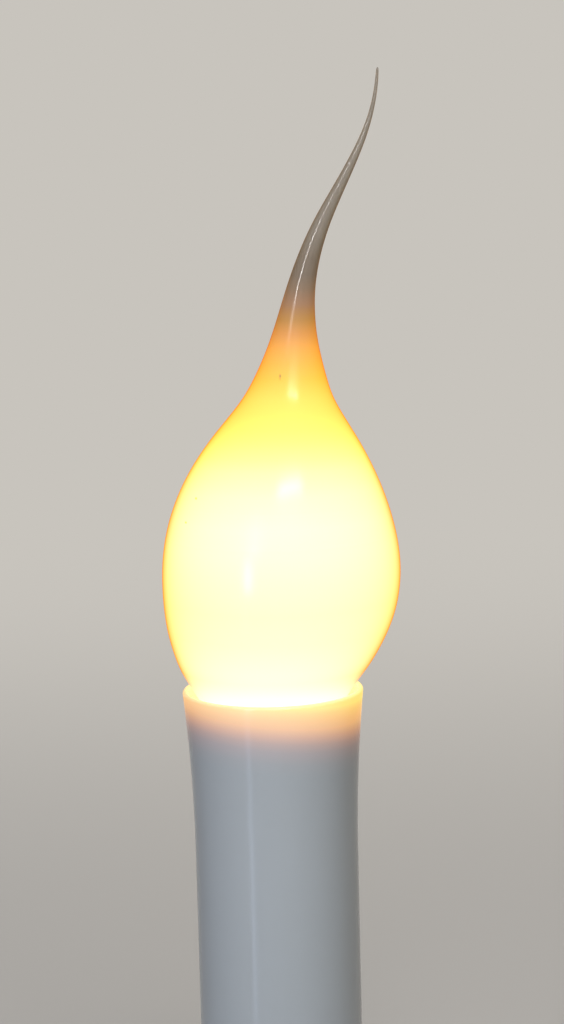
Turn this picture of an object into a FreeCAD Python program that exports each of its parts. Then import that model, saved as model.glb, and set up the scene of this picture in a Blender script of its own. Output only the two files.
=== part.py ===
# Candle bulb: a silicone-dipped flame lamp on its candle-tube lamp holder.
# Millimetres, +Z up. The origin lies on the tube's axis at the plane that the holder stands on.
# The flame leans towards +X. Screw threads are right-handed.
import FreeCAD, Part

import math
import os

from FreeCAD import Vector

# Candle tube
TUBE_LENGTH = 101.6          # four-inch cover
TUBE_RADIUS = 11.1           # seven-eighths of an inch across
TUBE_WALL = 0.8
MOUTH_GROWTH = 1.1           # what the flared mouth adds to the radius
FLARE_LENGTH = 22.0
FOOT_CHAMFER = 0.3

# Flame. Heights and offsets are measured from the middle of the tube's mouth
FLAME_SINK = 9.0             # how far the silicone's lower edge lies below the mouth
SILICONE_LAP = 0.3           # how far that edge stands out over the cap's collar
MOUTH_GAP = 0.9              # between the silicone and the inside of the mouth
SKIRT_HOLLOW = 0.3           # how far the skirt stays inside a straight cone, half way down
BELLY_RADIUS = 15.97
BELLY_HEIGHT = 15.8
BELLY_OFFSET = 1.55
NECK_RADIUS = 3.56           # where the drawn tip begins
NECK_HEIGHT = 46.0
NECK_OFFSET = 3.88
TIP_RADIUS = 0.2
TIP_HEIGHT = 82.6
TIP_OFFSET = 15.8
SPIGOT_CLEARANCE = 0.05      # lamp neck inside the cap
SPIGOT_LIFT = 0.9            # above the cap's bottom edge
SPIGOT_ROOT = 1.0            # how far it runs up into the flame

# Screw cap, candelabra size
THREAD_PITCH = 2.54
CAP_CORE_RADIUS = 5.35
CAP_CREST_RADIUS = 5.9
CAP_WALL = 0.4
CAP_LENGTH = 15.0            # shell alone
CAP_COLLAR_RADIUS = 6.1
CAP_COLLAR_LENGTH = 3.4
CAP_THREAD_START = 1.25      # middle of the first ridge above the shell's bottom edge
INSULATOR_LENGTH = 2.6
INSULATOR_SEAT = 0.45        # how far the black glass stands inside the shell
INSULATOR_TOP_RADIUS = 4.6
INSULATOR_TIP_RADIUS = 2.9
CONTACT_LENGTH = 0.9
CONTACT_RADIUS = 2.4
CONTACT_EDGE = 0.35          # straight rim of the button
CONTACT_FLAT_RADIUS = 1.3    # flat that rests on the leaf
CONTACT_STEM_RADIUS = 1.2
CONTACT_STEM_LENGTH = 1.35
STEM_CLEARANCE = 0.05
SOLDER_RADIUS = 0.9
SOLDER_DROP = 1.5            # below the cap's rim

# Thread ridges. Widths are measured along the axis
CREST_HALF_WIDTH = 0.35
FLANK_SLOPE = 1.09           # axial run for each millimetre of height
RIDGE_BITE = 0.15            # how far a ridge is rooted in its bar
FLANK_CLEARANCE = 0.22       # along the axis, between cap and screw shell
THREAD_CLEARANCE = 0.2       # radial, between cap and screw shell

# Screw shell of the lamp holder
SHEET = 0.3
SHEET_ROUNDING = 0.1         # what the sheet adds to the ridge's half width outside
SHELL_HEIGHT = 15.6
SHELL_TURNS_BELOW = 1        # turns of groove under the cap's first ridge
SHELL_BODY_CLEARANCE = 0.15

# Moulded body
BODY_TUBE_CLEARANCE = 0.3
BODY_BORE_DEPTH = 16.0
BODY_FLOOR = 4.0
BODY_FLANGE = 3.0
BODY_WAIST_DEPTH = 1.4       # how far the waist lies inside the flange
BODY_BLOCK_HEIGHT = 9.5
BODY_EDGE = 0.5
CHANNEL_WIDTH = 6.2          # cross channel with the terminals
CHANNEL_HEIGHT = 8.0

# Centre contact leaf and its insulation
DISC_THICKNESS = 0.5
DISC_MARGIN = 0.25           # around the leaf's corners
DISC_CLEARANCE = 0.15        # inside the screw shell's floor
LEAF_HEIGHT = 1.5            # folded
LEAF_THICKNESS = 0.35
LEAF_WIDTH = 4.0
LEAF_BASE_HALF = 2.5
LEAF_TIP_REACH = 1.9
LEAF_GAP = 0.1               # under the screwed-in lamp

# Rivets
RIVET_RADIUS = 0.65
RIVET_CLEARANCE = 0.05
RIVET_HEAD_HEIGHT = 0.4
RIVET_CLINCH_RADIUS = 1.0
RIVET_CLINCH_HEIGHT = 0.6
CONTACT_RIVET_HEAD_RADIUS = 1.1
SHELL_RIVET_HEAD_RADIUS = 0.85

# Angle terminals and their screws
TERMINAL_THICKNESS = 0.8
TERMINAL_SIDE_GAP = 0.7      # to the channel's wall
TERMINAL_DROP = 6.4
TERMINAL_RIVET_GAP = 0.2     # between the rivet's clinch and the upright ear
CONTACT_TAB_REACH = 1.6      # past the axis
TAB_SPACING = 1.5            # bare floor between the two tabs
TERMINAL_SCREW_RADIUS = 1.2
TERMINAL_SCREW_DROP = 4.0    # below the channel's roof
TERMINAL_SCREW_HEAD_RADIUS = 2.1
TERMINAL_SCREW_HEAD_HEIGHT = 1.2
TERMINAL_SCREW_LENGTH = 2.2
SCREW_CLEARANCE = 0.05
SLOT_WIDTH = 0.6
SLOT_DEPTH = 0.6

# Bracket and its screws
STRAP_THICKNESS = 1.0
STRAP_WIDTH = 7.0
STRAP_BEND_RADIUS = 1.5      # outside of the bend
ARM_MARGIN = 0.3             # arm's end past the heads of its screws
HUB_BORE_RADIUS = 4.8        # one-eighth pipe thread, mean radius
HUB_WALL = 1.6
HUB_HEIGHT = 6.4
FOOT_PLATE_MARGIN = 1.2      # plate around the hub
BRACKET_SCREW_RADIUS = 1.0
BRACKET_SCREW_LENGTH = 6.0
BRACKET_SCREW_SPACING = 3.9
BRACKET_SCREW_HEAD_RADIUS = 1.6
BRACKET_SCREW_HEAD_HEIGHT = 1.2

# Levels, from the mouth downwards
CAP_RIM = TUBE_LENGTH - FLAME_SINK
CAP_BOTTOM = CAP_RIM - CAP_LENGTH
THREAD_LEVEL = CAP_BOTTOM + CAP_THREAD_START
INSULATOR_BOTTOM = CAP_BOTTOM - INSULATOR_LENGTH
CONTACT_BOTTOM = INSULATOR_BOTTOM - CONTACT_LENGTH
LEAF_TOP = CONTACT_BOTTOM - LEAF_GAP
LEAF_BASE = LEAF_TOP - LEAF_HEIGHT
BORE_FLOOR = LEAF_BASE - DISC_THICKNESS
SHELL_TOP = BORE_FLOOR + SHELL_HEIGHT
BODY_TOP = BORE_FLOOR + BODY_BORE_DEPTH
CHANNEL_ROOF = BORE_FLOOR - BODY_FLOOR
BODY_BOTTOM = CHANNEL_ROOF - CHANNEL_HEIGHT
TERMINAL_SCREW_LEVEL = CHANNEL_ROOF - TERMINAL_SCREW_DROP

# Radii and reaches, from the axis outwards
RIVET_HOLE = RIVET_RADIUS + RIVET_CLEARANCE
DISC_RADIUS = math.hypot(LEAF_BASE_HALF, LEAF_WIDTH / 2) + DISC_MARGIN
SHELL_FLOOR_HOLE = DISC_RADIUS + DISC_CLEARANCE
SHELL_CORE_RADIUS = CAP_CORE_RADIUS + THREAD_CLEARANCE
SHELL_CREST_RADIUS = CAP_CREST_RADIUS + THREAD_CLEARANCE
SHELL_RIVET_OFFSET = (SHELL_FLOOR_HOLE + SHELL_CORE_RADIUS) / 2
BORE_RADIUS = SHELL_CREST_RADIUS + SHEET + SHELL_BODY_CLEARANCE
BODY_RADIUS = TUBE_RADIUS - TUBE_WALL - BODY_TUBE_CLEARANCE
BODY_WAIST_RADIUS = BODY_RADIUS - BODY_WAIST_DEPTH
FLAME_SEAT_RADIUS = CAP_COLLAR_RADIUS + SILICONE_LAP
FLAME_SKIRT_RADIUS = TUBE_RADIUS + MOUTH_GROWTH - TUBE_WALL - MOUTH_GAP
TERMINAL_WIDTH = CHANNEL_WIDTH - 2 * TERMINAL_SIDE_GAP
TERMINAL_BACK = SHELL_RIVET_OFFSET + RIVET_CLINCH_RADIUS + TERMINAL_RIVET_GAP
TERMINAL_FACE = TERMINAL_BACK + TERMINAL_THICKNESS
SHELL_TAB_REACH = CONTACT_TAB_REACH + TAB_SPACING
STRAP_FACE = math.sqrt(BODY_RADIUS ** 2 - (STRAP_WIDTH / 2) ** 2)
HUB_RADIUS = HUB_BORE_RADIUS + HUB_WALL
FOOT_PLATE_RADIUS = HUB_RADIUS + FOOT_PLATE_MARGIN
BRACKET_SCREW_LINE = STRAP_FACE - STRAP_BEND_RADIUS - BRACKET_SCREW_HEAD_RADIUS
BRACKET_SCREW_PLACES = (-BRACKET_SCREW_SPACING / 2, BRACKET_SCREW_SPACING / 2)
STRAP_ARM_END = BRACKET_SCREW_LINE - BRACKET_SCREW_HEAD_RADIUS - ARM_MARGIN

PAST = 1.0                   # how far a cutting tool runs past the surface it cuts
UP = Vector(0, 0, 1)
ALONG_X = Vector(1, 0, 0)
ALONG_Y = Vector(0, 1, 0)


def cylinder(radius, low, high, x=0.0, y=0.0):
    return Part.makeCylinder(radius, high - low, Vector(x, y, low))


def cross_cylinder(radius, start, end, z):
    """Round bar along X between two places."""
    direction = ALONG_X if end > start else ALONG_X * -1
    return Part.makeCylinder(radius, abs(end - start), Vector(start, 0, z), direction)


def box(x_range, y_range, z_range):
    size = [high - low for low, high in (x_range, y_range, z_range)]
    return Part.makeBox(*size, Vector(x_range[0], y_range[0], z_range[0]))


def revolve(edges):
    return Part.Face(Part.Wire(edges)).revolve(Vector(0, 0, 0), UP, 360)


def polyline(points):
    return [Part.makeLine(start, end) for start, end in zip(points, points[1:])]


def turned(profile):
    """Solid of revolution from a closed outline of (radius, height) corners."""
    corners = [Vector(r, 0, z) for r, z in profile]
    return revolve(polyline(corners + corners[:1]))


def threaded_rod(core, crest, crest_half, low, high, first, last):
    """Round bar with one helical ridge, whose middle starts over +X and climbs from first to last."""
    root = core - RIDGE_BITE
    root_half = crest_half + (crest - root) * FLANK_SLOPE
    helix = Part.makeHelix(THREAD_PITCH, last - first, core)
    helix.translate(Vector(0, 0, first))
    outline = Part.makePolygon([
        Vector(root, 0, first - root_half),
        Vector(crest, 0, first - crest_half),
        Vector(crest, 0, first + crest_half),
        Vector(root, 0, first + root_half),
        Vector(root, 0, first - root_half),
    ])
    ridge = Part.Wire(helix).makePipeShell([outline], True, True)
    return cylinder(core, low, high).fuse(ridge)


def flame_stations():
    """Centre (x, z) and radius of the flame's sections, from the cap's rim to the tip.

    Between the named stations stand shares of the way from one to the next:
    height, sideways, radius.
    """
    skirt_mean = (FLAME_SEAT_RADIUS + FLAME_SKIRT_RADIUS) / 2 - SKIRT_HOLLOW
    mouth = (0.0, TUBE_LENGTH, FLAME_SKIRT_RADIUS)
    belly = (BELLY_OFFSET, TUBE_LENGTH + BELLY_HEIGHT, BELLY_RADIUS)
    neck = (NECK_OFFSET, TUBE_LENGTH + NECK_HEIGHT, NECK_RADIUS)
    tip = (TIP_OFFSET, TUBE_LENGTH + TIP_HEIGHT, TIP_RADIUS)
    stretches = [
        (mouth, belly, [(0.27, 0.24, 0.46), (0.61, 0.74, 0.87)]),
        (belly, neck, [(0.205, 0.01, 0.052), (0.38, 0.10, 0.188), (0.56, 0.25, 0.418),
                       (0.70, 0.43, 0.653), (0.825, 0.68, 0.844)]),
        (neck, tip, [(0.145, 0.064, 0.36), (0.287, 0.151, 0.577), (0.429, 0.313, 0.708),
                     (0.571, 0.532, 0.821), (0.71, 0.760, 0.911), (0.833, 0.906, 0.976)]),
    ]
    stations = [
        (0.0, CAP_RIM, FLAME_SEAT_RADIUS),
        (0.0, CAP_RIM + FLAME_SINK / 2, skirt_mean),
        mouth,
    ]
    for start, end, shares in stretches:
        for up, aside, out in shares:
            stations.append((
                start[0] + aside * (end[0] - start[0]),
                start[1] + up * (end[1] - start[1]),
                start[2] + out * (end[2] - start[2])))
        stations.append(end)
    return stations


def flame_envelope():
    """Level sections up to the neck, and sections square to the centre line along the drawn tip."""
    stations = flame_stations()
    neck_level = TUBE_LENGTH + NECK_HEIGHT
    sections = []
    for i, (x, z, radius) in enumerate(stations):
        heading = UP
        if z > neck_level:
            before = stations[i - 1]
            after = stations[min(i + 1, len(stations) - 1)]
            heading = Vector(after[0] - before[0], 0, after[1] - before[1])
        ring = Part.Circle(Vector(x, 0, z), heading, radius)
        sections.append(Part.Wire(ring.toShape()))
    body = Part.makeLoft(sections, True)
    spigot_radius = CAP_CORE_RADIUS - CAP_WALL - SPIGOT_CLEARANCE
    spigot = cylinder(spigot_radius, CAP_BOTTOM + SPIGOT_LIFT, CAP_RIM + SPIGOT_ROOT)
    return body.fuse(spigot)


def cap_shell():
    thread_top = CAP_RIM - CAP_COLLAR_LENGTH
    rod = threaded_rod(CAP_CORE_RADIUS, CAP_CREST_RADIUS, CREST_HALF_WIDTH, CAP_BOTTOM, CAP_RIM,
                       THREAD_LEVEL, thread_top)
    shell = rod.fuse(cylinder(CAP_COLLAR_RADIUS, thread_top, CAP_RIM))
    bore_radius = CAP_CORE_RADIUS - CAP_WALL
    shell = shell.cut(cylinder(bore_radius, CAP_BOTTOM + INSULATOR_SEAT, CAP_RIM + PAST))
    return shell.cut(cylinder(INSULATOR_TOP_RADIUS, CAP_BOTTOM - PAST, CAP_RIM))


def cap_insulator():
    top = CAP_BOTTOM + INSULATOR_SEAT
    cone = turned([
        (0, INSULATOR_BOTTOM), (INSULATOR_TIP_RADIUS, INSULATOR_BOTTOM),
        (INSULATOR_TOP_RADIUS, CAP_BOTTOM), (INSULATOR_TOP_RADIUS, top), (0, top),
    ])
    pocket_top = INSULATOR_BOTTOM + CONTACT_STEM_LENGTH + STEM_CLEARANCE
    pocket_radius = CONTACT_STEM_RADIUS + STEM_CLEARANCE
    return cone.cut(cylinder(pocket_radius, INSULATOR_BOTTOM - PAST, pocket_top))


def cap_contact():
    """Button with a rounded edge, whose stem sits in the black glass."""
    width = CONTACT_RADIUS - CONTACT_FLAT_RADIUS
    depth = CONTACT_LENGTH - CONTACT_EDGE
    bend = (width ** 2 + depth ** 2) / (2 * depth)
    half = math.asin(width / bend) / 2
    flat = Vector(CONTACT_FLAT_RADIUS, 0, CONTACT_BOTTOM)
    middle = flat + Vector(bend * math.sin(half), 0, bend * (1 - math.cos(half)))
    rim = Vector(CONTACT_RADIUS, 0, CONTACT_BOTTOM + depth)
    stem_top = INSULATOR_BOTTOM + CONTACT_STEM_LENGTH
    outline = [
        rim, Vector(CONTACT_RADIUS, 0, INSULATOR_BOTTOM),
        Vector(CONTACT_STEM_RADIUS, 0, INSULATOR_BOTTOM), Vector(CONTACT_STEM_RADIUS, 0, stem_top),
        Vector(0, 0, stem_top), Vector(0, 0, CONTACT_BOTTOM), flat,
    ]
    return revolve([Part.Arc(flat, middle, rim).toShape()] + polyline(outline))


def side_solder():
    blob = Part.makeSphere(SOLDER_RADIUS, Vector(0, -CAP_COLLAR_RADIUS, CAP_RIM - SOLDER_DROP))
    return blob.cut(cylinder(CAP_COLLAR_RADIUS, CAP_BOTTOM, CAP_RIM))


def candle_tube():
    """Straight wall with a mouth that flares on an arc tangent to it and ends in a round lip."""
    bend = (FLARE_LENGTH ** 2 + MOUTH_GROWTH ** 2) / (2 * MOUTH_GROWTH)
    opening = math.asin(FLARE_LENGTH / bend)
    centre = Vector(TUBE_RADIUS + bend, 0, TUBE_LENGTH - FLARE_LENGTH)

    def flare(radius):
        swings = [share * opening for share in (0.0, 0.5, 1.0)]
        return [centre + Vector(-radius * math.cos(a), 0, radius * math.sin(a)) for a in swings]

    outer = flare(bend)
    inner = flare(bend + TUBE_WALL)
    lip_height = Vector(math.sin(opening), 0, math.cos(opening)) * (TUBE_WALL / 2)
    lip = (outer[2] + inner[2]) / 2 + lip_height
    foot = [
        inner[0], Vector(TUBE_RADIUS - TUBE_WALL, 0, 0),
        Vector(TUBE_RADIUS - FOOT_CHAMFER, 0, 0), Vector(TUBE_RADIUS, 0, FOOT_CHAMFER), outer[0],
    ]
    return revolve(polyline(foot) + [
        Part.Arc(*outer).toShape(),
        Part.Arc(outer[2], lip, inner[2]).toShape(),
        Part.Arc(*reversed(inner)).toShape(),
    ])


def socket_body():
    """Flanged barrel over a block whose cross channel opens two windows for the terminals."""
    block_top = BODY_BOTTOM + BODY_BLOCK_HEIGHT
    flange_low = BODY_TOP - BODY_FLANGE
    body = turned([
        (0, BODY_BOTTOM), (BODY_RADIUS - BODY_EDGE, BODY_BOTTOM),
        (BODY_RADIUS, BODY_BOTTOM + BODY_EDGE), (BODY_RADIUS, block_top),
        (BODY_WAIST_RADIUS, block_top), (BODY_WAIST_RADIUS, flange_low),
        (BODY_RADIUS, flange_low), (BODY_RADIUS, BODY_TOP - BODY_EDGE),
        (BODY_RADIUS - BODY_EDGE, BODY_TOP), (0, BODY_TOP),
    ])
    body = body.cut(cylinder(BORE_RADIUS, BORE_FLOOR, BODY_TOP + PAST))
    reach = BODY_RADIUS + PAST
    half = CHANNEL_WIDTH / 2
    body = body.cut(box((-reach, reach), (-half, half), (BODY_BOTTOM - PAST, CHANNEL_ROOF)))
    for x in (0.0, -SHELL_RIVET_OFFSET):
        body = body.cut(cylinder(RIVET_HOLE, CHANNEL_ROOF - PAST, BORE_FLOOR + PAST, x))
    pilot = BRACKET_SCREW_RADIUS + SCREW_CLEARANCE
    for x in BRACKET_SCREW_PLACES:
        body = body.cut(cylinder(pilot, BODY_BOTTOM - PAST, BODY_BOTTOM + BRACKET_SCREW_LENGTH, x,
                                 -BRACKET_SCREW_LINE))
    return body


def screw_shell():
    """Sheet rolled to the cap's thread, open at the top and with a riveted floor."""
    first = THREAD_LEVEL - SHELL_TURNS_BELOW * THREAD_PITCH
    last = SHELL_TOP + THREAD_PITCH / 2
    beyond = last + 2 * THREAD_PITCH
    core = SHELL_CORE_RADIUS
    crest = SHELL_CREST_RADIUS
    groove_half = CREST_HALF_WIDTH + FLANK_CLEARANCE - THREAD_CLEARANCE * FLANK_SLOPE
    inside = threaded_rod(core, crest, groove_half, BORE_FLOOR + SHEET, beyond + PAST, first, last)
    outside = threaded_rod(core + SHEET, crest + SHEET, groove_half + SHEET_ROUNDING, BORE_FLOOR,
                           beyond, first, last)
    shell = outside.cut(inside).common(cylinder(BORE_RADIUS, BORE_FLOOR, SHELL_TOP))
    shell = shell.cut(cylinder(SHELL_FLOOR_HOLE, BORE_FLOOR - PAST, BORE_FLOOR + PAST))
    return shell.cut(cylinder(RIVET_HOLE, BORE_FLOOR - PAST, BORE_FLOOR + PAST, -SHELL_RIVET_OFFSET))


def insulating_disc():
    disc = cylinder(DISC_RADIUS, BORE_FLOOR, LEAF_BASE)
    return disc.cut(cylinder(RIVET_HOLE, BORE_FLOOR - PAST, LEAF_BASE + PAST))


def center_contact():
    """Leaf folded back over itself, so that its free end springs against the lamp's contact."""
    outer = LEAF_HEIGHT / 2
    inner = outer - LEAF_THICKNESS
    middle = LEAF_BASE + outer
    low = LEAF_BASE + LEAF_THICKNESS
    high = LEAF_TOP - LEAF_THICKNESS
    fold = LEAF_BASE_HALF - outer

    def at(x, z):
        return Vector(x, -LEAF_WIDTH / 2, z)

    tip = [at(fold, LEAF_TOP), at(-LEAF_TIP_REACH, LEAF_TOP), at(-LEAF_TIP_REACH, high), at(fold, high)]
    base = [at(fold, low), at(-LEAF_BASE_HALF, low), at(-LEAF_BASE_HALF, LEAF_BASE), at(fold, LEAF_BASE)]
    edges = [Part.Arc(base[3], at(fold + outer, middle), tip[0]).toShape()]
    edges += polyline(tip)
    edges.append(Part.Arc(tip[3], at(fold + inner, middle), base[0]).toShape())
    edges += polyline(base)
    leaf = Part.Face(Part.Wire(edges)).extrude(ALONG_Y * LEAF_WIDTH)
    return leaf.cut(cylinder(RIVET_HOLE, LEAF_BASE - PAST, (low + high) / 2))


def rivet(x, seat, head_radius):
    """Rivet through the body's floor, its head on the seat and its clinch under a terminal."""
    foot = CHANNEL_ROOF - TERMINAL_THICKNESS
    shank = cylinder(RIVET_RADIUS, foot, seat, x)
    head = cylinder(head_radius, seat, seat + RIVET_HEAD_HEIGHT, x)
    clinch = cylinder(RIVET_CLINCH_RADIUS, foot - RIVET_CLINCH_HEIGHT, foot, x)
    return shank.fuse([head, clinch])


def contact_rivet():
    return rivet(0.0, LEAF_BASE + LEAF_THICKNESS, CONTACT_RIVET_HEAD_RADIUS)


def shell_rivet():
    return rivet(-SHELL_RIVET_OFFSET, BORE_FLOOR + SHEET, SHELL_RIVET_HEAD_RADIUS)


def terminal(side, tab_end, rivet_x):
    """Angle strip under the body's floor: a riveted tab and a tapped ear at the body's window."""
    half = TERMINAL_WIDTH / 2
    under = CHANNEL_ROOF - TERMINAL_THICKNESS
    face = side * TERMINAL_FACE
    back = side * TERMINAL_BACK
    tab = box(sorted((tab_end, face)), (-half, half), (under, CHANNEL_ROOF))
    ear = box(sorted((back, face)), (-half, half), (CHANNEL_ROOF - TERMINAL_DROP, CHANNEL_ROOF))
    angle = tab.fuse(ear).removeSplitter()
    angle = angle.cut(cylinder(RIVET_HOLE, under - PAST, CHANNEL_ROOF + PAST, rivet_x))
    tapped = TERMINAL_SCREW_RADIUS + SCREW_CLEARANCE
    return angle.cut(cross_cylinder(tapped, back - side * PAST, face + side * PAST,
                                    TERMINAL_SCREW_LEVEL))


def contact_terminal():
    return terminal(1, -CONTACT_TAB_REACH, 0.0)


def shell_terminal():
    return terminal(-1, -SHELL_TAB_REACH, -SHELL_RIVET_OFFSET)


def terminal_screw(side):
    """Slotted round-head screw, its head on the outer face of the terminal's ear."""
    level = TERMINAL_SCREW_LEVEL
    seat = side * TERMINAL_FACE
    top = side * (TERMINAL_FACE + TERMINAL_SCREW_HEAD_HEIGHT)
    shank = cross_cylinder(TERMINAL_SCREW_RADIUS, seat, seat - side * TERMINAL_SCREW_LENGTH, level)
    head = cross_cylinder(TERMINAL_SCREW_HEAD_RADIUS, seat, top, level)
    reach = TERMINAL_SCREW_HEAD_RADIUS + PAST
    slot = box(sorted((top - side * SLOT_DEPTH, top + side * PAST)), (-reach, reach),
               (level - SLOT_WIDTH / 2, level + SLOT_WIDTH / 2))
    return shank.fuse(head).cut(slot)


def contact_terminal_screw():
    return terminal_screw(1)


def shell_terminal_screw():
    return terminal_screw(-1)


def bracket():
    """Strap bent to a C, its arm under the body and its foot carrying the tapped hub."""
    outer = STRAP_BEND_RADIUS
    inner = outer - STRAP_THICKNESS
    bend_y = outer - STRAP_FACE
    upper = BODY_BOTTOM - outer
    slant = math.sqrt(0.5)

    def at(y, z):
        return Vector(-STRAP_WIDTH / 2, y, z)

    def bend(radius, z, way):
        """Quarter turn from the leg to the arm (way 1) or to the foot (way -1)."""
        return [at(bend_y - radius, z), at(bend_y - radius * slant, z + way * radius * slant),
                at(bend_y, z + way * radius)]

    arm_outside = bend(outer, upper, 1)
    arm_inside = bend(inner, upper, 1)
    foot_outside = bend(outer, outer, -1)
    foot_inside = bend(inner, outer, -1)
    arm_end = [at(-STRAP_ARM_END, BODY_BOTTOM), at(-STRAP_ARM_END, BODY_BOTTOM - STRAP_THICKNESS)]
    foot_end = [at(0, STRAP_THICKNESS), at(0, 0)]
    edges = polyline([arm_outside[2]] + arm_end + [arm_inside[2]])
    edges.append(Part.Arc(*reversed(arm_inside)).toShape())
    edges += polyline([arm_inside[0], foot_inside[0]])
    edges.append(Part.Arc(*foot_inside).toShape())
    edges += polyline([foot_inside[2]] + foot_end + [foot_outside[2]])
    edges.append(Part.Arc(*reversed(foot_outside)).toShape())
    edges += polyline([foot_outside[0], arm_outside[0]])
    edges.append(Part.Arc(*arm_outside).toShape())
    strap = Part.Face(Part.Wire(edges)).extrude(ALONG_X * STRAP_WIDTH)
    plate = cylinder(FOOT_PLATE_RADIUS, 0, STRAP_THICKNESS)
    hub = cylinder(HUB_RADIUS, 0, HUB_HEIGHT)
    piece = strap.fuse([plate, hub]).removeSplitter()
    piece = piece.cut(cylinder(HUB_BORE_RADIUS, -PAST, HUB_HEIGHT + PAST))
    hole = BRACKET_SCREW_RADIUS + SCREW_CLEARANCE
    for x in BRACKET_SCREW_PLACES:
        piece = piece.cut(cylinder(hole, BODY_BOTTOM - 2 * STRAP_THICKNESS, BODY_BOTTOM + PAST, x,
                                   -BRACKET_SCREW_LINE))
    return piece


def bracket_screws():
    seat = BODY_BOTTOM - STRAP_THICKNESS
    screws = []
    for x in BRACKET_SCREW_PLACES:
        shank = cylinder(BRACKET_SCREW_RADIUS, seat, seat + BRACKET_SCREW_LENGTH, x,
                         -BRACKET_SCREW_LINE)
        head = cylinder(BRACKET_SCREW_HEAD_RADIUS, seat - BRACKET_SCREW_HEAD_HEIGHT, seat, x,
                        -BRACKET_SCREW_LINE)
        screws.append(shank.fuse(head))
    return Part.makeCompound(screws)


nodes = [
    flame_envelope, cap_shell, cap_insulator, cap_contact, side_solder,
    candle_tube, socket_body, screw_shell, insulating_disc, center_contact,
    contact_rivet, shell_rivet, contact_terminal, shell_terminal,
    contact_terminal_screw, shell_terminal_screw, bracket, bracket_screws,
]

os.makedirs("parts", exist_ok=True)
for make in nodes:
    shape = make()
    name = make.__name__
    shape.exportStep(os.path.join("parts", name + ".step"))
    print(name, "solids", len(shape.Solids), "valid", shape.isValid(), "volume %.1f" % shape.Volume)
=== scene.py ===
import math

import bpy
from mathutils import Matrix, Vector


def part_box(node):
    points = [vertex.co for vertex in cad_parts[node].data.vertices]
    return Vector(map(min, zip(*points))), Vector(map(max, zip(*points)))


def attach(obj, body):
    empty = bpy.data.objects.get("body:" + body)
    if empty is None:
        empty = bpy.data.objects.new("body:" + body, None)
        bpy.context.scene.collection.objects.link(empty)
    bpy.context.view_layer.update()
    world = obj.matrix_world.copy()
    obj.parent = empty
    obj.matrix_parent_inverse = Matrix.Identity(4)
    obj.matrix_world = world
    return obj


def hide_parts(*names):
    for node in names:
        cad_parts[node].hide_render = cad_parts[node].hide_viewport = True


# Candle bulb on its tube. Sizes in the dictionaries are millimetres, the scene is metres.
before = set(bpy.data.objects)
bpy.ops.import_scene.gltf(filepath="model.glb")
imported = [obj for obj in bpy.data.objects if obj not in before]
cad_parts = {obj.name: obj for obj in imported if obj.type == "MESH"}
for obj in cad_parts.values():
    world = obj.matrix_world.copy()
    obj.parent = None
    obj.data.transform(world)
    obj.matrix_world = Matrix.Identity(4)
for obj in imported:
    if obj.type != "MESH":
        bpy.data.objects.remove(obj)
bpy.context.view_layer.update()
mm = 0.001
mouthLevel = 101.6      # the tube's mouth, from which the flame's heights are measured
weld = 0.002 * mm       # points closer than this become one
cutSlack = 0.0005 * mm  # how near a point may lie to a cutting plane and count as on it
print("frame loaded:", len(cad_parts), "nodes")


def deselectAll():
    bpy.ops.object.select_all(action="DESELECT")


def activate(piece):
    deselectAll()
    piece.select_set(True)
    bpy.context.view_layer.objects.active = piece


def editAll(piece):
    activate(piece)
    bpy.ops.object.mode_set(mode="EDIT")
    bpy.ops.mesh.select_all(action="SELECT")


def backToObject(piece):
    bpy.ops.object.mode_set(mode="OBJECT")
    activate(piece)
    bpy.ops.object.transform_apply(location=True, rotation=True, scale=True)


def applyModifier(piece, kind, **settings):
    modifier = piece.modifiers.new(kind.title(), kind)
    for key, value in settings.items():
        setattr(modifier, key, value)
    activate(piece)
    bpy.ops.object.modifier_apply(modifier=modifier.name)


# A circle pulled through its rings, each (aside, height, radius, lean) in mm and degrees.
# filled: closed with a face at both ends. Otherwise the last ring meets the first and is merged.
def pullRings(name, sides, rings, filled=True):
    aside, height, radius, lean = rings[0]
    deselectAll()
    bpy.ops.mesh.primitive_circle_add(vertices=sides, radius=radius * mm,
                                      location=(aside * mm, 0, height * mm),
                                      fill_type="NGON" if filled else "NOTHING")
    piece = bpy.context.object
    piece.name = name
    editAll(piece)
    for before, ring in zip(rings, rings[1:]):
        centre = (ring[0] * mm, 0, ring[1] * mm)
        grow = ring[2] / before[2]
        step = [(b - a) * mm for a, b in ((before[0], ring[0]), (0, 0), (before[1], ring[1]))]
        bpy.ops.mesh.extrude_region_move(TRANSFORM_OT_translate={"value": step})
        bpy.ops.transform.resize(value=(grow, grow, grow), center_override=centre)
        if ring[3] != before[3]:
            bpy.ops.transform.rotate(value=math.radians(before[3] - ring[3]), orient_axis="Y",
                                     center_override=centre)
    if not filled:
        bpy.ops.mesh.select_all(action="SELECT")
        bpy.ops.mesh.remove_doubles(threshold=weld)
        bpy.ops.mesh.normals_make_consistent(inside=False)
    backToObject(piece)
    return piece


# The same on the Z axis, from a profile of (radius, height)
def pullProfile(name, sides, profile, filled=True):
    return pullRings(name, sides, [(0, height, radius, 0) for radius, height in profile], filled)


def smoothByAngle(piece, degrees):
    activate(piece)
    bpy.ops.object.shade_smooth_by_angle(angle=math.radians(degrees))


def joinPieces(name, *pieces):
    deselectAll()
    for piece in pieces:
        piece.select_set(True)
    bpy.context.view_layer.objects.active = pieces[0]
    bpy.ops.object.join()
    pieces[0].name = name
    return pieces[0]


def copyPiece(piece):
    activate(piece)
    bpy.ops.object.duplicate(linked=False)
    return bpy.context.object


def putAt(piece, place, turn=0.0):
    piece.rotation_euler = (0, math.radians(turn), 0)
    piece.location = [value * mm for value in place]
    activate(piece)
    bpy.ops.object.transform_apply(location=True, rotation=True, scale=True)


def dress(piece, body, slot, *nodes):
    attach(piece, body)
    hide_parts(*nodes)


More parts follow.
